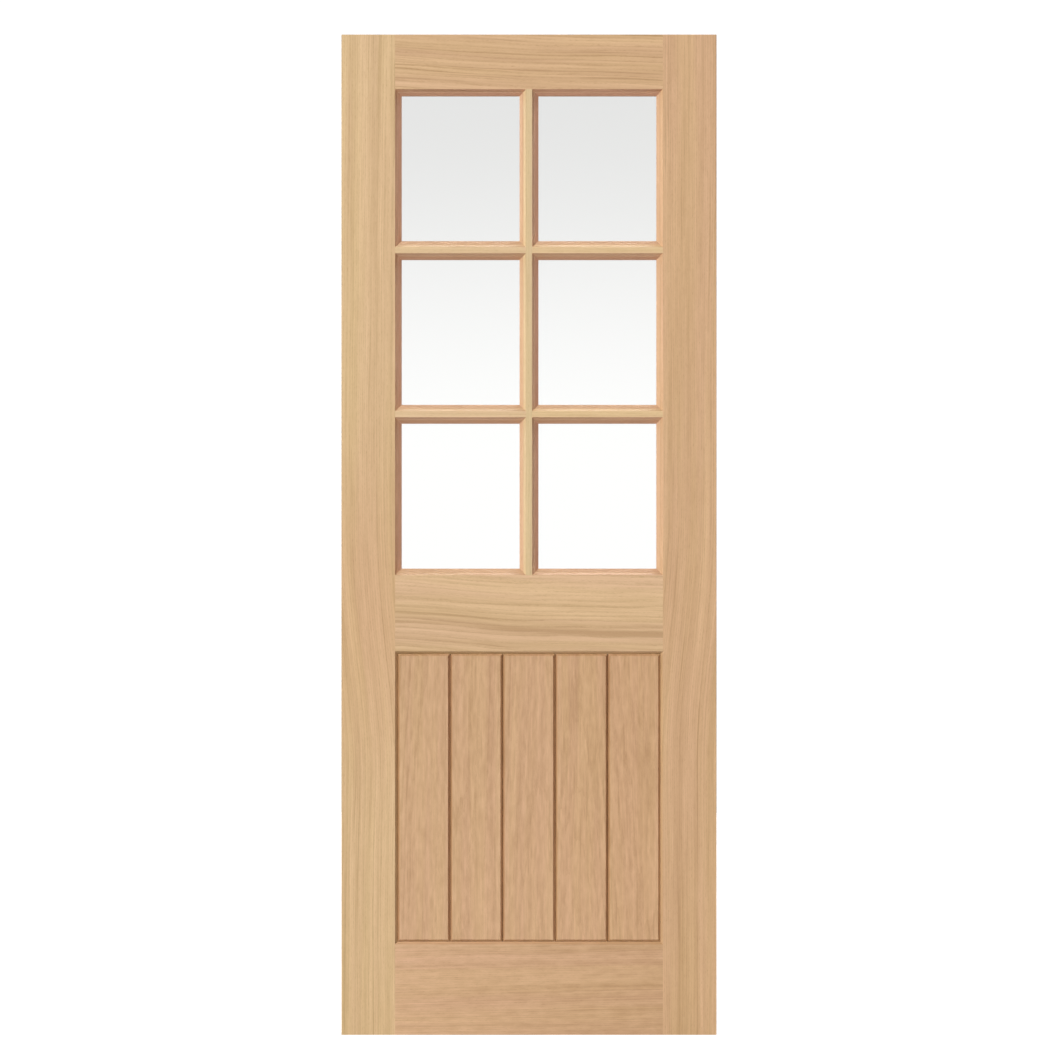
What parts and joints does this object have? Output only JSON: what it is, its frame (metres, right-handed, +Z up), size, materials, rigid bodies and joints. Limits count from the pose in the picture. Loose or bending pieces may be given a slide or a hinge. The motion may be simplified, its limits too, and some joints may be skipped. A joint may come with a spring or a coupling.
{
  "type": "glazed interior door",
  "caption": "Oak interior door leaf with clear panes in a splayed glazing-bar grid above a lock rail and a V-jointed boarded panel below, ready to be hung on its edge.",
  "frame": {"origin": "foot of the hinge edge, in the middle of the leaf's thickness", "axes": "+X from the hinge edge across the leaf to the lock edge, +Y through the thickness from the front face to the back face, +Z up along the hinge edge"},
  "size_m": [0.762, 0.035, 2.032],
  "materials": {
    "frame_oak": "pale natural oak, satin, grain along each member",
    "bar_oak": "pale natural oak, satin, straight grain along each bar",
    "bead_oak": "pale natural oak, satin, straight grain along each bead",
    "board_oak": "natural oak, satin, upright grain with arched figure",
    "clear_glass": "clear flat glass"
  },
  "bodies": {
    "root": {"back_beads_bottom_left": "bead_oak", "back_beads_bottom_right": "bead_oak", "back_beads_middle_left": "bead_oak", "back_beads_middle_right": "bead_oak", "back_beads_top_left": "bead_oak", "back_beads_top_right": "bead_oak", "bottom_rail": "frame_oak", "front_beads_bottom_left": "bead_oak", "front_beads_bottom_right": "bead_oak", "front_beads_middle_left": "bead_oak", "front_beads_middle_right": "bead_oak", "front_beads_top_left": "bead_oak", "front_beads_top_right": "bead_oak", "glass_bottom_left": "clear_glass", "glass_bottom_right": "clear_glass", "glass_middle_left": "clear_glass", "glass_middle_right": "clear_glass", "glass_top_left": "clear_glass", "glass_top_right": "clear_glass", "hinge_stile": "frame_oak", "lock_rail": "frame_oak", "lock_stile": "frame_oak", "lower_cross_bar_left": "bar_oak", "lower_cross_bar_right": "bar_oak", "panel_board_1": "board_oak", "panel_board_2": "board_oak", "panel_board_3": "board_oak", "panel_board_4": "board_oak", "panel_board_5": "board_oak", "top_rail": "frame_oak", "upper_cross_bar_left": "bar_oak", "upper_cross_bar_right": "bar_oak", "upright_bar": "bar_oak"}
  },
  "joints": []
}
